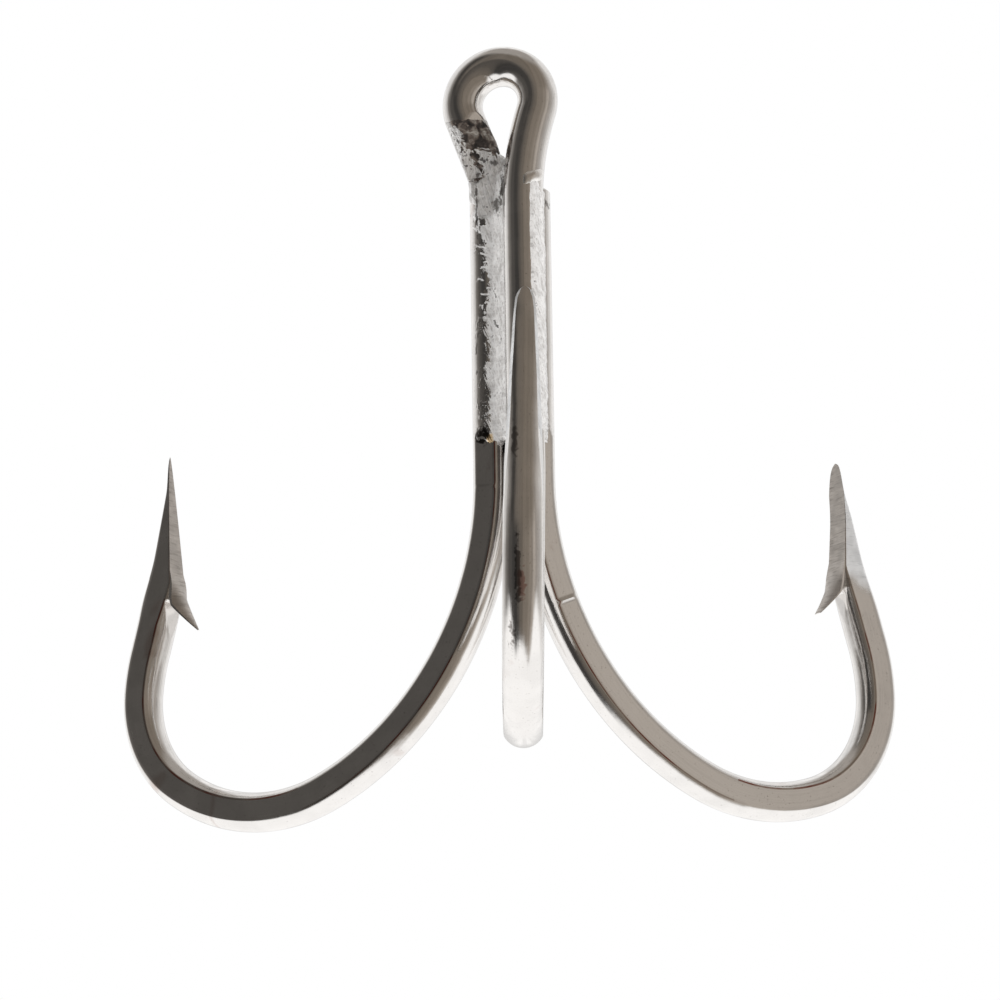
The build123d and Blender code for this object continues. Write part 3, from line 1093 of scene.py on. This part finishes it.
def make_seam(name, seam):
    """Braze in the groove between two wires, lapping on to both with a ragged edge."""
    first = np.array(PRONGS[seam.between[0]].xy)
    second = np.array(PRONGS[seam.between[1]].xy)
    span = float(np.linalg.norm(second - first))
    across = (second - first) / span
    facing = np.array([across[1], -across[0]])
    fill = seam.fill

    def front(u, v):
        z = seam.top + (BRAZE_BOTTOM - seam.top) * u
        ragged = seam.ragged * rough(first[0], fill, z, 0.55)
        opened = smooth_step((START_CHANGES[0] - z) / (START_CHANGES[0] - START_CHANGES[1]))
        start = seam.top_start + (seam.start - seam.top_start) * opened + ragged
        stop = span - seam.end + 0.12 * rough(second[1], fill, z, 0.7)
        offset = start + (stop - start) * v
        end_z = 0.5 * rough(offset, 3.0, 1.0, 0.8)
        z += end_z * (smooth_step((u - 0.9) / 0.1) + smooth_step((0.1 - u) / 0.1))
        height = blend_max(dome(offset), dome(offset - span), 0.35)
        height = blend_max(height, fill - 0.25 * smooth_step((u - 0.93) / 0.07), 0.30)
        height += seam.film - SEAM_SINK + seam.lump * rough(offset, z, fill, 0.9)
        height += 0.035 * rough(offset * 3, z * 0.7, fill, 2.2)
        rim = min(edge_fade(v, 0.045), edge_fade(u, 0.012))
        height -= SEAM_RIM_DROP * (1 - rim)
        return (*(first + across * offset + facing * height), z), offset

    piece = shell(
        "seam_" + name, rows=420, cols=52, front=front,
        inward=(-facing[0], -facing[1], 0.0), thickness=0.9, materials=[seam.material],
    )
    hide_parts("braze_" + name)


for name, seam in SEAMS.items():
    make_seam(name, seam)


# Top of the web at shares of its width, and its left edge at heights, all in mm.
WEB_TOP = (
    (0, -8.9), (0.26, -8.7), (0.36, -7.6), (0.46, -7.0), (0.66, -5.5), (0.78, -5.9),
    (0.9, -6.4), (1.0, -6.6),
)
WEB_LEFT = ((-13.4, -2.95), (-10.6, -3.05), (-9.4, -3.75), (-5.0, -3.90))
WEB_HIGHEST = -5.1
WEB_LOWEST = -13.4
# How far the web stays from the front wire's middle, and how high it stands in the throat.
WEB_TO_LEG = 2.15
WEB_THROAT = -0.95
# A height that never wins: there is no wire at this place.
FAR_BEHIND = -9.0
SWIRL_CENTRE = (-4.5, -5.5)
SWIRL_HEIGHT = 0.13


def web_face(u, v):
    """The web that closes the eye, over the end of the left wire and the cut end."""
    level = WEB_HIGHEST + (WEB_LOWEST - WEB_HIGHEST) * u
    left_edge = float(np.interp(level, *zip(*WEB_LEFT))) + 0.10 * rough(0.0, level, 5.0, 0.8)
    rise = max(0.0, level + LOOP_RISE)
    leg_foot = eye_point(sqrt(LEAD_RADIUS ** 2 - rise ** 2) - LEAD_RADIUS, level, 0.0)
    right_edge = leg_foot[0] - WEB_TO_LEG + 0.06 * rough(3.0, level, 1.0, 0.8)
    x = left_edge + (right_edge - left_edge) * v
    top = float(np.interp(v, *zip(*WEB_TOP))) + 0.12 * rough(v * 3, 7.0, 2.0, 1.5)
    z = top + (WEB_LOWEST - top) * u
    wire = -LEFT_XY[1] + dome(x - LEFT_XY[0])
    if z > PRONGS["left"].top:
        wire -= 1.1 * smooth_step((z - PRONGS["left"].top) / 1.2)
    eye_across = (FRONT_XY[0] - x) / cos(EYE_TURN)
    outward = eye_across - tail_across(z)
    spot = eye_point(eye_across, z, scarf_depth(z, outward))
    tail = -spot[1] if abs(outward) < WIRE_R else FAR_BEHIND
    tail = min(tail, -0.2 + 0.25 * (WEB_HIGHEST - z)) - 2.2 * smooth_step((-8.0 - z) / 2.0)
    leg_offset = x - leg_foot[0]
    leg = -leg_foot[1] + dome(leg_offset) if abs(leg_offset) < WIRE_R else FAR_BEHIND
    height = blend_max(blend_max(wire, tail, 0.9), leg, 0.8)
    height = blend_max(height, WEB_THROAT, 0.6) - 0.15
    height += 0.20 * rough(x, z, 2.0, 0.7) + 0.07 * rough(x, z, 9.0, 2.4)
    out = hypot(x - SWIRL_CENTRE[0], z - SWIRL_CENTRE[1])
    height += SWIRL_HEIGHT * sin(2.6 * out + 1.6 * rough(x, z, 6.0, 0.5))
    rim = min(edge_fade(v, 0.05), smooth_step(u / 0.05))
    height -= 0.35 * (1 - rim)
    height -= 0.30 * smooth_step((-9.6 - z + 0.8 * rough(x, 4.0, 1.0, 0.6)) / 2.6)
    return (x, -height, z), x


piece = shell(
    "eye_web", rows=120, cols=64, front=web_face, inward=(0.0, 1.0, 0.0), thickness=1.1,
    materials=[alloy_eye],
)
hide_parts("braze_eye")


CRUST_ABOVE_SCARF = 1.30
CRUST_TOP_SLOPE = 0.55
CRUST_BOTTOM = -9.3
CRUST_THICKNESS = 0.10


def crust_face(u, v):
    """Burnt flux and pitted braze crusted over the slanting cut of the eye's end."""
    top = SCARF_TOP + CRUST_ABOVE_SCARF - CRUST_TOP_SLOPE * (1 - v)
    top += 0.22 * rough(v * 3, 2.0, 1.0, 1.3)
    z = top + (CRUST_BOTTOM - top) * u
    turn = cos(CLOSE_TURN)
    inner = (cut_reach(z) - 0.03) / turn
    outer = (WIRE_R - 0.05) / turn
    offset = -inner + (inner + outer) * v
    lumps = 0.08 + 0.09 * rough(offset, z, 7.0, 0.9) + 0.14 * rough(offset, z, 1.0, 2.4, 6)
    lumps += 0.08 * rough(offset, z, 3.0, 5.5, 4)
    base_depth = max(scarf_depth(z, offset * turn), -dome(offset * turn))
    rim = min(edge_fade(v, 0.06), edge_fade(u, 0.07))
    depth = base_depth - (CRUST_THICKNESS + lumps) * rim + 0.25 * (1 - rim)
    offset += 0.05 * rough(v * 4, z, 3.0, 1.4)
    return eye_point(tail_across(z) + offset, z, depth), offset


def crust_kind(u, v):
    """Burnt along the cut, bare and pitted on the wire's outside and near the web."""
    jagged = 0.10 * rough(v * 2, u * 9, 5.0, 1.6)
    border = 0.84 - 0.9 * max(0.0, 0.26 - abs(u - 0.28)) + jagged
    light_patch = u > 0.50 + jagged and 0.12 < v + jagged < 0.46
    return 1 if v > border or light_patch else 0


shell(
    "flux_crust", rows=170, cols=90, front=crust_face, inward=EYE_NORMAL, thickness=0.6,
    materials=[crust, alloy_pitted], kind=crust_kind,
)


# The bead runs BEAD_TURN degrees round the wire, and climbs and widens as it goes, in mm.
BEAD_TURN = 78
BEAD_Z = -10.45
BEAD_CLIMB = 1.25
BEAD_WIDTH = 1.55
BEAD_WIDENING = 0.4
BEAD_HEIGHT = 0.45
BEAD_SINK = 0.10


def bead_face(u, v):
    """A bead of braze run part of the way round the front wire, at the top of the seam."""
    turn = radians(BEAD_TURN * v)
    swell = sin(pi * u) ** 0.7 * sqrt(max(0.0, 1 - abs(2 * v - 1) ** 3))
    height = WIRE_R - BEAD_SINK + BEAD_HEIGHT * swell + 0.03 * rough(v * 4, u, 4.0, 1.0)
    z = BEAD_Z + BEAD_CLIMB * v + (BEAD_WIDTH + BEAD_WIDENING * v) * (0.5 - u)
    z += 0.12 * rough(v * 2, 1.0, 8.0, 1.0)
    point = (FRONT_XY[0] + height * sin(turn), FRONT_XY[1] - height * cos(turn), z)
    return point, WIRE_R * turn


shell(
    "seam_bead", rows=30, cols=60, front=bead_face, inward=(-0.3, 1.0, 0.0), thickness=0.5,
    materials=[bead_alloy],
)


# ---------------------------------------------------------------- table
# A square, seen only from above, as the camera looks up from below its level.
TABLE_HALF = 6.0
floor_z = cad_box[0].z
corners = [
    (x * TABLE_HALF, y * TABLE_HALF, floor_z) for x, y in ((-1, -1), (1, -1), (1, 1), (-1, 1))
]
mesh = bpy.data.meshes.new("table")
mesh.from_pydata(corners, [], [(0, 1, 2, 3)])
table = place_in_scene("table", mesh)
t = Nodes(bpy.data.materials.new("white_table"))
white = t.add("BsdfPrincipled", {"Base Color": (0.85, 0.85, 0.85, 1), "Roughness": 0.8})
clear = t.add("BsdfTransparent")
under = t.add("NewGeometry").outputs["Backfacing"]
both = t.add("MixShader", {0: under, 1: white.outputs[0], 2: clear.outputs[0]})
t.add("OutputMaterial", {"Surface": both.outputs[0]})
mesh.materials.append(t.block)
table.visible_glossy = False
